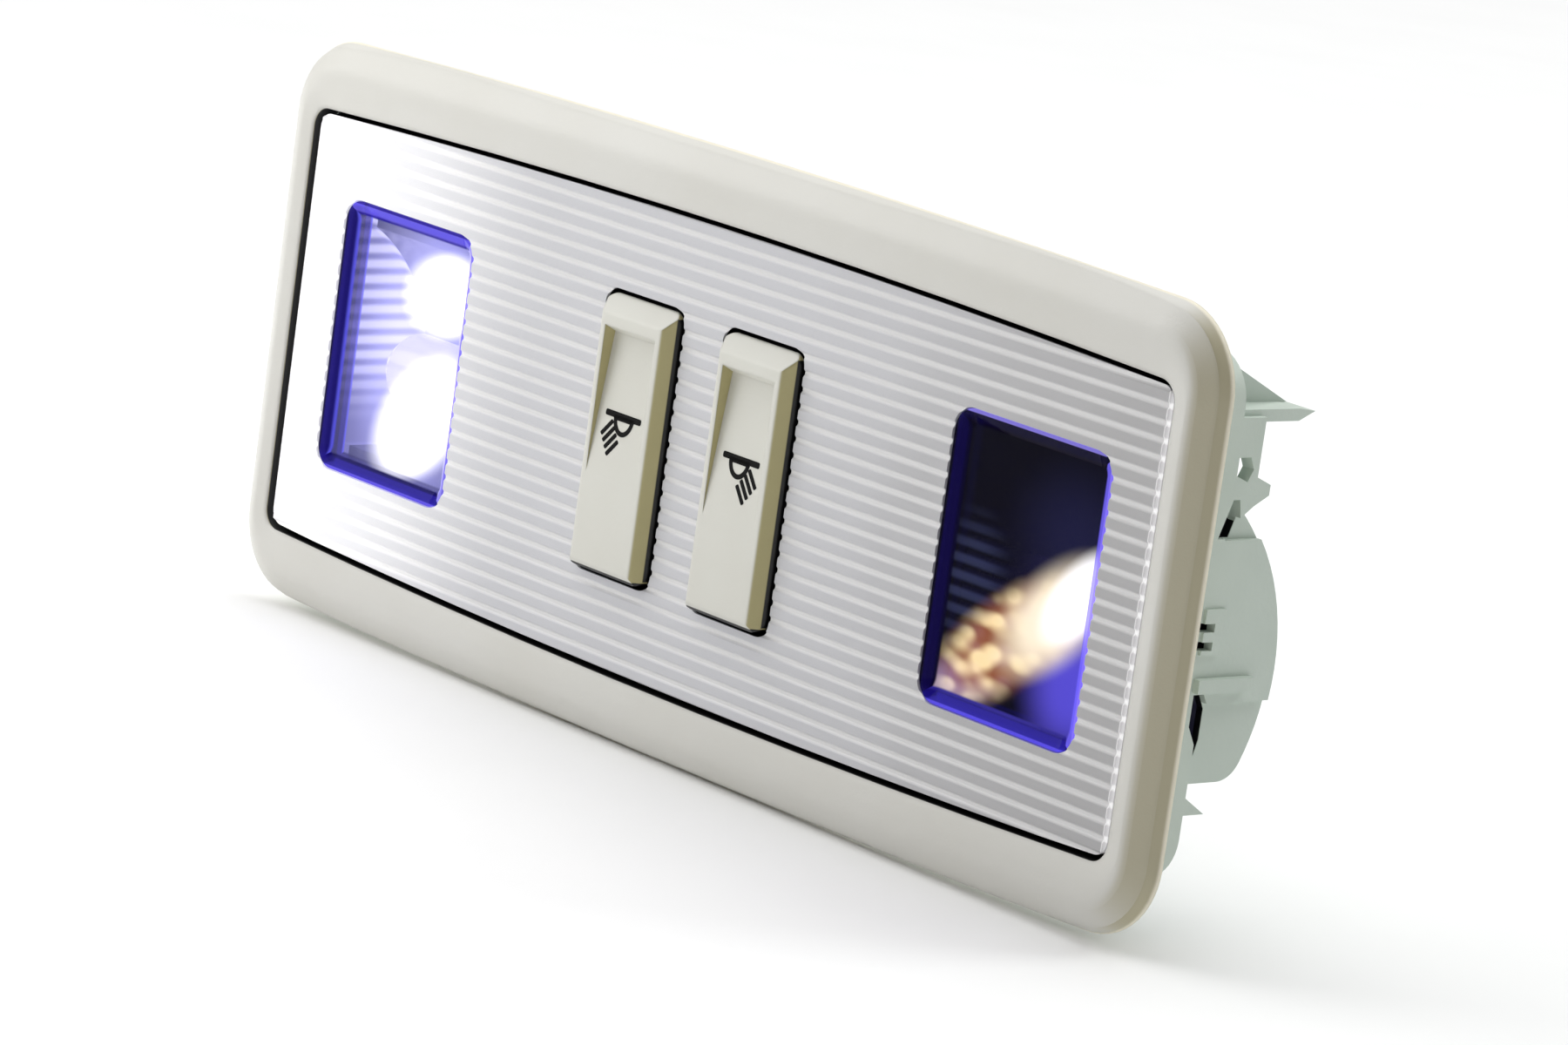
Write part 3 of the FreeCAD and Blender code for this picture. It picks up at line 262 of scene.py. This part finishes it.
def makePanelPlastic():
    look = panelLook
    material, shader, coords = newMaterial("panelPlastic", Emission_Strength=1.0)
    x, y, z = split(coords)
    phase = z / look["pitch"]
    offCrest = abs(phase - phase.maths("ROUND", phase)) * look["pitch"]
    # painted light: the ribs are paler towards the left end, where the light falls, with a cloudy boundary
    place = x + uneven(coords, 0.0, look["cloud"], look["cloudDrift"])
    towardsRight = ease(place, look["rightFrom"], look["rightTo"])
    rib = blendColour(towardsRight, look["litRib"], look["rib"])
    # painted highlight: the valleys and slopes between the rib crests are near white, as highlight lines
    body = blendColour(ease(offCrest, *look["crest"]), rib, look["valleyHighlight"])
    # painted shade: the walls of the key holes, the long edges and the deep end walls are dark
    skin = gapLook["skin"]
    keyHole = within(abs(abs(x) - look["keyAt"]), look["keyHoleHalf"] + skin)
    keyHole = keyHole * within(abs(z), look["keyHoleHeight"] + skin)
    longEdge = 1 - within(bowedHeight(x, z), gapLook["panelHalfHeight"] - skin)
    wall = larger(keyHole, longEdge) * ease(y, look["face"] + skin, look["face"] + 2 * skin)
    inner = ease(y, look["face"] + look["endFrom"], look["face"] + look["endTo"])
    paintedGapShade = larger(wall, inner)
    feed(shader, "Base Color", blendColour(paintedGapShade, body, gapLook["shade"]))
    brushed = stretch(coords, look["brush"])
    feed(shader, "Roughness", uneven(brushed, look["roughness"], *look["sheen"]))
    # painted light: a glow that brightens the left end of the panel, and lightens the shaded ends of the
    # ribs at the right end
    glow = ease(-1 * x, look["glowFrom"], look["glowTo"]) * look["glow"]
    glow = (glow + ease(x, *look["ribEnd"]) * look["endGlow"]) * (1 - paintedGapShade)
    feed(shader, "Emission Color", blendColour(glow, black, look["light"]))
    return material


housingLook = {"light": tone(206, 216, 207), "dark": tone(192, 204, 194), "mottle": 120, "grain": 1400,
               "grainDepth": 0.00003, "roughness": 0.5, "sheen": (600, 0.15), "halfLength": 0.0781,
               "halfHeight": 0.0288, "depth": 0.0056, "wellHalf": (0.0395, 0.0195), "wellDepth": 0.0116,
               "podFrom": 0.0425, "podTo": 0.0791, "podAxis": (-0.0066, -0.0055), "podRound": 0.023,
               "podBlur": 0.000002, "podBottom": 0.0169}


def makeHousingPlastic():
    look = housingLook
    material, shader, coords = newMaterial("housingPlastic", Roughness=look["roughness"])
    x, y, z = split(coords)
    body = blendColour(noise(coords, look["mottle"]), look["dark"], look["light"])
    # painted shade: inner faces are dark, so that the openings in the ends look black
    tray = within(abs(x), look["halfLength"]) * within(abs(z), look["halfHeight"])
    tray = tray * within(y, look["depth"])
    well = within(abs(x), look["wellHalf"][0]) * within(abs(z), look["wellHalf"][1])
    well = well * within(y, look["wellDepth"])
    back = y - look["podAxis"][0]
    rise = z - look["podAxis"][1]
    pod = within(back * back + rise * rise, look["podRound"] ** 2, look["podBlur"])
    pod = pod * within(-1 * z, look["podBottom"])
    pod = pod * within(abs(x), look["podTo"]) * (1 - within(abs(x), look["podFrom"]))
    inside = larger(larger(tray, well), pod)
    feed(shader, "Base Color", blendColour(inside, body, gapLook["shade"]))
    feed(shader, "Roughness", uneven(coords, look["roughness"], *look["sheen"]))
    feed(shader, "Normal", relief(noise(coords, look["grain"]), look["grainDepth"]))
    return material


innerLook = {"mottle": 200, "sheen": (700, 0.15), "grain": 2200, "grainDepth": 0.00002}
innerPlastics = {"connectorPlastic": (["connector_socket"], tone(40, 40, 42), tone(28, 28, 30), 0.5),
                 "holderPlastic": (["left_bulb_holder", "right_bulb_holder"],
                                   tone(120, 118, 112), tone(96, 95, 92), 0.5),
                 "switchPlastic": (["left_push_switch", "right_push_switch"],
                                   tone(38, 38, 40), tone(26, 26, 28), 0.45),
                 "plungerPlastic": (["left_switch_plunger", "right_switch_plunger"],
                                    tone(226, 226, 220), tone(206, 206, 198), 0.4)}


def makeInnerPlastic(name, light, dark, roughness):
    look = innerLook
    material, shader, coords = newMaterial(name, Roughness=roughness)
    feed(shader, "Base Color", blendColour(noise(coords, look["mottle"]), dark, light))
    feed(shader, "Roughness", uneven(coords, roughness, *look["sheen"]))
    feed(shader, "Normal", relief(noise(coords, look["grain"]), look["grainDepth"]))
    return material


# metals and clear pieces

brassLook = {"dull": tone(176, 138, 70), "bright": tone(224, 192, 122), "grime": (300, 4.0),
             "roughness": (0.22, 0.25)}


def makeBrass():
    look = brassLook
    material, shader, coords = newMaterial("contactBrass", Metallic=1.0)
    grime = noise(coords, *look["grime"])
    low, swing = look["roughness"]
    feed(shader, "Base Color", blendColour(grime, look["dull"], look["bright"]))
    feed(shader, "Roughness", low + swing * grime)
    return material


reflectorLook = {"dark": tone(26, 24, 60), "light": tone(62, 62, 96), "ripple": 250, "rippleDepth": 0.0002,
                 "roughness": (0.16, 0.1), "stripePitch": 0.00197, "groove": (0.05, 0.40),
                 "outerWall": (0.0725, 0.0727), "innerWall": 0.0446,
                 "stripe": (tone(122, 122, 164), tone(232, 232, 250)), "litFrom": -0.014, "litTo": -0.002,
                 "glow": {"left": 0.8, "right": 0.04}}


def makeReflectorMetal(side):
    look = reflectorLook
    material, shader, coords = newMaterial(side + "ReflectorMetal", Metallic=1.0,
                                           Emission_Strength=look["glow"][side])
    x, y, z = split(coords)
    ripple = noise(coords, look["ripple"])
    low, swing = look["roughness"]
    feed(shader, "Base Color", blendColour(ripple, look["dark"], look["light"]))
    feed(shader, "Roughness", low + swing * ripple)
    feed(shader, "Normal", relief(ripple, look["rippleDepth"]))
    # painted light: glowing stripes on the end walls stand for grooves lit by the bulb
    groove = ease(stripes(z, look["stripePitch"]), *look["groove"])
    wall = ease(abs(x), *look["outerWall"]) + within(abs(x), look["innerWall"])
    lit = blendColour(groove * ease(z, look["litFrom"], look["litTo"]), *look["stripe"])
    feed(shader, "Emission Color", blendColour(wall, black, lit))
    return material


lensLook = {"centre": 0.0577, "halfWidth": 0.01315, "halfHeight": 0.0173, "rim": (0.00045, 0.0006),
            "bevel": (0.0018, 0.0021), "crease": (0.0014, 0.0018), "mitre": 0.00001,
            "edge": tone(36, 30, 84), "roughness": 0.04, "index": 1.1, "gloss": 0.12}


def lensInset(across, up):  # distance from the nearest edge of a window, and from each edge
    look = lensLook
    reach = {"left": look["halfWidth"] + across, "right": look["halfWidth"] - across,
             "top": look["halfHeight"] - up, "bottom": look["halfHeight"] + up}
    inset = smaller(smaller(reach["left"], reach["right"]), smaller(reach["top"], reach["bottom"]))
    return inset, reach


def newLens(name, sign, tint):
    look = lensLook
    material, shader, coords = newMaterial(name, Roughness=look["roughness"], IOR=look["index"],
                                           Transmission_Weight=1.0, Emission_Strength=1.0,
                                           Specular_IOR_Level=look["gloss"])
    x, y, z = split(coords)
    across = x - sign * look["centre"]
    inset, reach = lensInset(across, z)
    border = 1 - ease(inset, *look["bevel"])
    feed(shader, "Base Color", blendColour(border, tint, look["edge"]))
    return material, shader, coords, across, z


def frameLens(lit, across, up, borders):  # rim, slope and inner crease of the four borders
    look = lensLook
    inset, reach = lensInset(across, up)
    border = 1 - ease(inset, *look["bevel"])
    # painted light: each border gets glowing rim, slope and crease tones
    for side, (rim, slope, crease) in borders.items():
        own = within(reach[side] - inset, look["mitre"])
        colour = blendColour(ease(inset, *look["rim"]), rim, slope)
        colour = blendColour(ease(inset, *look["crease"]), colour, crease)
        lit = blendColour(own * border, lit, colour)
    return lit


def blot(across, up, centre, reach, turn, soft):  # 1 inside a turned oval, fading out at its edge
    cos = math.cos(math.radians(turn))
    sin = math.sin(math.radians(turn))
    right = across - centre[0]
    rise = up - centre[1]
    along = (right * cos + rise * sin) / reach[0]
    aside = (rise * cos - right * sin) / reach[1]
    square = along * along + aside * aside
    return 1 - ease(square.maths("SQRT", square), 1 - soft, 1 + soft)


leftGlow = {"tint": tone(222, 220, 244), "upper": ((0.0066, 0.0086), (0.0066, 0.0046), 10, 0.32),
            "lower": ((0.0048, -0.0074), (0.0092, 0.0055), 45, 0.32),
            "halo": ((0.0040, 0.0010), (0.0110, 0.0170), 0, 0.6),
            "wash": tone(62, 62, 92), "mist": tone(136, 136, 186), "white": (1.3, 1.3, 1.3, 1.0),
            "borders": {"left": (tone(8, 4, 30), tone(26, 20, 104), tone(84, 82, 214)),
                        "right": (tone(120, 110, 226), tone(150, 142, 236), tone(180, 174, 248)),
                        "top": (tone(40, 30, 110), tone(92, 82, 204), tone(40, 30, 136)),
                        "bottom": (tone(92, 82, 200), tone(22, 14, 100), tone(14, 8, 70))}}


def makeLeftLens():
    glow = leftGlow
    material, shader, coords, across, up = newLens("leftLensClear", -1, glow["tint"])
    # painted light: hot spots, halo and haze of the bulb seen through the lens, fixed on the lens
    hot = larger(blot(across, up, *glow["upper"]), blot(across, up, *glow["lower"]))
    lit = blendColour(blot(across, up, *glow["halo"]), glow["wash"], glow["mist"])
    lit = blendColour(hot, lit, glow["white"])
    feed(shader, "Emission Color", frameLens(lit, across, up, glow["borders"]))
    return material


# painted shade: the right lens has a near-black tint that darkens its window, where the left lens is near
# clear
rightGlow = {"tint": tone(16, 13, 48), "hot": ((0.0098, 0.0002), (0.0066, 0.0032), 48, 0.4),
             "warm": ((0.0060, -0.0030), (0.0082, 0.0042), 42, 0.55),
             "beam": ((-0.0006, -0.0074), (0.0116, 0.0046), 37, 0.4),
             "low": ((0.0100, -0.0100), (0.0056, 0.0066), 0, 0.7),
             "haze": ((0.0075, 0.0060), (0.0070, 0.0060), 0, 0.9),
             "foot": ((-0.0080, -0.0140), (0.0044, 0.0022), 15, 0.7),
             "ghost": ((-0.0080, -0.0024), (0.0046, 0.0064), 0, 0.6), "ghostTone": tone(42, 46, 74),
             "wash": tone(3, 2, 14), "violet": tone(84, 74, 196), "mist": tone(24, 24, 54),
             "pale": tone(160, 148, 198), "cream": tone(255, 226, 172), "amber": tone(140, 82, 54),
             "gold": tone(255, 240, 206), "white": (1.3, 1.3, 1.3, 1.0), "spots": (300, 300, 520),
             "spotEdge": (0.2, 0.6), "ghostEdge": (0.1, 0.4),
             "borders": {"left": (tone(4, 2, 12), tone(14, 8, 60), tone(8, 5, 36)),
                         "right": (tone(130, 112, 248), tone(104, 92, 222), tone(84, 74, 190)),
                         "top": (tone(128, 118, 212), tone(8, 5, 34), tone(8, 5, 22)),
                         "bottom": (tone(84, 74, 200), tone(22, 14, 98), tone(44, 36, 132))}}


def makeRightLens():
    glow = rightGlow
    material, shader, coords, across, up = newLens("rightLensClear", 1, glow["tint"])
    # painted light: hot spot, warm fan, beam and haze of the bulb seen through the lens, fixed on the lens
    spots = coords.node("ShaderNodeTexVoronoi", {"feature": "SMOOTH_F1"},
                        {"Vector": stretch(coords, glow["spots"]), "Scale": 1.0}, "Distance")
    fire = blendColour(ease(spots, *glow["spotEdge"]), glow["cream"], glow["amber"])
    lit = blendColour(blot(across, up, *glow["haze"]), glow["wash"], glow["mist"])
    # ribs of the panel mirrored in the dark part of the window, painted with the glow
    ghost = ease(stripes(up, panelLook["pitch"]), *glow["ghostEdge"]) * blot(across, up, *glow["ghost"])
    lit = blendColour(ghost, lit, glow["ghostTone"])
    lit = blendColour(blot(across, up, *glow["low"]), lit, glow["violet"])
    lit = blendColour(blot(across, up, *glow["foot"]), lit, glow["pale"])
    lit = blendColour(blot(across, up, *glow["beam"]), lit, fire)
    lit = blendColour(blot(across, up, *glow["warm"]), lit, glow["gold"])
    lit = blendColour(blot(across, up, *glow["hot"]), lit, glow["white"])
    feed(shader, "Emission Color", frameLens(lit, across, up, glow["borders"]))
    return material


bulbLook = {"glass": (0.12, 0.12, 0.16, 1.0), "cap": (0.02, 0.02, 0.03, 1.0), "roughness": 0.1,
            "from": 0.050, "to": 0.056, "strength": {"left": 0.5, "right": 0.6},
            "colour": {"left": (0.72, 0.7, 1.0, 1.0), "right": (1.0, 0.86, 0.68, 1.0)}}


def makeBulbGlow(side):
    look = bulbLook
    material, shader, coords = newMaterial(side + "BulbGlow", Base_Color=look["glass"],
                                           Roughness=look["roughness"],
                                           Emission_Strength=look["strength"][side])
    x, y, z = split(coords)
    lit = blendColour(ease(abs(x), look["from"], look["to"]), look["cap"], look["colour"][side])
    feed(shader, "Emission Color", lit)
    return material


dress(["bezel"], makeBezelPlastic())
dress(["ribbed_panel"], makePanelPlastic())
dress(["lamp_housing"], makeHousingPlastic())
dress(["left_rocker_key", "right_rocker_key"], makeKeyPlastic())
dress(["supply_strip", "ground_strip", "left_lamp_strip", "right_lamp_strip", "connector_pins"], makeBrass())
for name, (pieces, light, dark, roughness) in innerPlastics.items():
    dress(pieces, makeInnerPlastic(name, light, dark, roughness))
for side in sides:
    dress([side + "_reflector"], makeReflectorMetal(side))
    dress([side + "_bulb"], makeBulbGlow(side))
dress(["left_reading_lens"], makeLeftLens())
dress(["right_reading_lens"], makeRightLens())
print("materials on", len(nodes), "nodes")


# printed signs on the keys: a lamp under a bar, with four rays

signLook = {"bar": (0.0066, 0.00075), "dome": (0.0019, 0.0024), "domeShift": 0.0002, "stroke": 0.0006,
            "ray": (0.0026, 0.00055), "rays": 4, "firstRay": (-0.0017, -0.0008),
            "lastRay": (-0.0001, -0.0030), "rayTurn": 49.4, "ink": 0.00008, "height": 0.00265,
            "scoopFoot": -0.005, "scoopSlope": 5.66, "cornerShare": 0.3, "cornerSteps": 3, "domeSteps": 40,
            "tone": tone(8, 8, 8), "faded": tone(18, 18, 17), "mottle": 1500, "gloss": 0.1,
            "sheen": 2500, "roughness": (0.45, 0.2)}


def makeInk():
    look = signLook
    material, shader, coords = newMaterial("signInk", Specular_IOR_Level=look["gloss"])
    low, swing = look["roughness"]
    feed(shader, "Base Color", blendColour(noise(coords, look["mottle"]), look["tone"], look["faded"]))
    feed(shader, "Roughness", low + swing * noise(coords, look["sheen"]))
    return material


def addStroke(length, width, place, turn=0.0):  # a bar with its corners taken off
    bpy.ops.object.select_all(action="DESELECT")
    bpy.ops.mesh.primitive_plane_add(size=1.0)
    stroke = bpy.context.object
    bpy.ops.object.mode_set(mode="EDIT")
    bpy.ops.transform.resize(value=(length, width, 1.0))
    bpy.ops.mesh.bevel(offset=width * signLook["cornerShare"], segments=signLook["cornerSteps"],
                       affect="VERTICES")
    bpy.ops.object.mode_set(mode="OBJECT")
    stroke.rotation_euler = (0, 0, math.radians(turn))
    stroke.location = (place[0], place[1], 0)
    bpy.ops.object.transform_apply(location=True, rotation=True, scale=True)
    return stroke


def addDome(look):  # half ring that hangs from the bar
    bpy.ops.object.select_all(action="DESELECT")
    bpy.ops.mesh.primitive_circle_add(vertices=look["domeSteps"], radius=1.0, fill_type="NGON")
    dome = bpy.context.object
    bpy.ops.object.mode_set(mode="EDIT")
    bpy.ops.mesh.bisect(plane_co=(0, 0, 0), plane_no=(0, 1, 0), clear_outer=True)
    bpy.ops.mesh.select_all(action="SELECT")
    bpy.ops.transform.resize(value=(look["dome"][0], look["dome"][1], 1.0), center_override=(0, 0, 0))
    bpy.ops.mesh.select_mode(type="FACE")
    bpy.ops.mesh.select_all(action="SELECT")
    bpy.ops.mesh.inset(thickness=look["stroke"])
    bpy.ops.mesh.delete(type="FACE")
    bpy.ops.object.mode_set(mode="OBJECT")
    dome.location = (look["domeShift"], 0, 0)
    bpy.ops.object.transform_apply(location=True, rotation=True, scale=True)
    return dome


def makeSign(side, sign, ink):
    look = signLook
    low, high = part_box(side + "_rocker_key")
    parts = [addStroke(*look["bar"], (0, 0)), addDome(look)]
    for ray in range(look["rays"]):
        share = ray / (look["rays"] - 1)
        start = [first + share * (last - first) for first, last in zip(look["firstRay"], look["lastRay"])]
        reach = look["ray"][0] / 2
        turn = math.radians(look["rayTurn"])
        middle = (start[0] - reach * math.cos(turn), start[1] - reach * math.sin(turn))
        parts.append(addStroke(*look["ray"], middle, look["rayTurn"]))
    bpy.ops.object.select_all(action="DESELECT")
    for part in parts:
        part.select_set(True)
    bpy.context.view_layer.objects.active = parts[0]
    bpy.ops.object.join()
    drawn = bpy.context.object
    drawn.name = side + "_key_sign"
    solid = drawn.modifiers.new("ink", "SOLIDIFY")
    solid.thickness = look["ink"]
    solid.offset = 0.0
    bpy.ops.object.modifier_apply(modifier="ink")
    drawn.scale = (-sign, 1, 1)
    bpy.ops.object.transform_apply(location=False, rotation=False, scale=True)
    # stood up and leant back on the floor of the scoop
    climb = (look["height"] - look["scoopFoot"]) * math.tan(math.radians(look["scoopSlope"]))
    drawn.rotation_euler = (math.radians(90 - look["scoopSlope"]), 0, 0)
    drawn.location = ((low[0] + high[0]) / 2, low[1] + climb, look["height"])
    bpy.ops.object.transform_apply(location=True, rotation=True, scale=True)
    bpy.ops.object.mode_set(mode="EDIT")
    bpy.ops.mesh.select_all(action="SELECT")
    bpy.ops.mesh.normals_make_consistent(inside=False)
    bpy.ops.object.mode_set(mode="OBJECT")
    drawn.data.materials.append(ink)
    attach(drawn, side + "_key")


signInk = makeInk()
for side, sign in sides.items():
    makeSign(side, sign, signInk)
print("signs printed on the keys")


# floor, light and camera

floorSet = {"size": 8.0, "light": tone(250, 250, 250), "dark": tone(246, 246, 246), "mottle": 30,
            "roughness": 0.9}


def makeFloor():
    bpy.ops.object.select_all(action="DESELECT")
    bpy.ops.mesh.primitive_plane_add(size=floorSet["size"], location=(0, 0, cadBox[0][2]))
    floor = bpy.context.object
    floor.name = "floor"
    material, shader, coords = newMaterial("floorPaper", Roughness=floorSet["roughness"])
    body = blendColour(noise(coords, floorSet["mottle"]), floorSet["dark"], floorSet["light"])
    feed(shader, "Base Color", body)
    floor.data.materials.append(material)


lightSet = {"world": 0.12,
            "lamps": {"topLight": ((-0.5, 0.3, 2.6), (0.1, 0, 0), 4.0, 96.0, (1.0, 1.0, 1.0)),
                      "windowLight": ((-0.30, -0.24, 0.20), (-0.09, 0, 0), 0.3, 0.9, (1.0, 1.0, 0.99)),
                      "backLight": ((0.7, 1.5, 1.3), (0.05, 0, 0), 0.8, 11.0, (0.97, 1.0, 0.98))}}


def addLight(name, place, aim, size, power, colour):
    bpy.ops.object.light_add(type="AREA", location=place)
    lamp = bpy.context.object
    lamp.name = name
    lamp.data.size = size
    lamp.data.energy = power
    lamp.data.color = colour
    lamp.rotation_euler = (Vector(aim) - Vector(place)).to_track_quat("-Z", "Y").to_euler()


def makeLight():
    world = bpy.data.worlds.new("studio")
    world.use_nodes = True
    background = world.node_tree.nodes["Background"]
    background.inputs["Color"].default_value = (1.0, 1.0, 1.0, 1.0)
    background.inputs["Strength"].default_value = lightSet["world"]
    bpy.context.scene.world = world
    for name, lamp in lightSet["lamps"].items():
        addLight(name, *lamp)
    bpy.context.scene.view_settings.view_transform = "Standard"


cameraFit = {"place": (0.570806, -0.501189, 0.146208), "tilt": 78.547, "roll": -7.83, "heading": 49.503,
             "lens": 150.0, "sensor": 36.0, "near": 0.01}


def makeCamera():
    fit = cameraFit
    turn = [math.radians(fit[part]) for part in ("tilt", "roll", "heading")]
    bpy.ops.object.camera_add(location=fit["place"], rotation=turn)
    camera = bpy.context.object
    camera.data.lens = fit["lens"]
    camera.data.sensor_width = fit["sensor"]
    camera.data.clip_start = fit["near"]
    bpy.context.scene.camera = camera


makeFloor()
makeLight()
makeCamera()
print("stage, light and camera set")
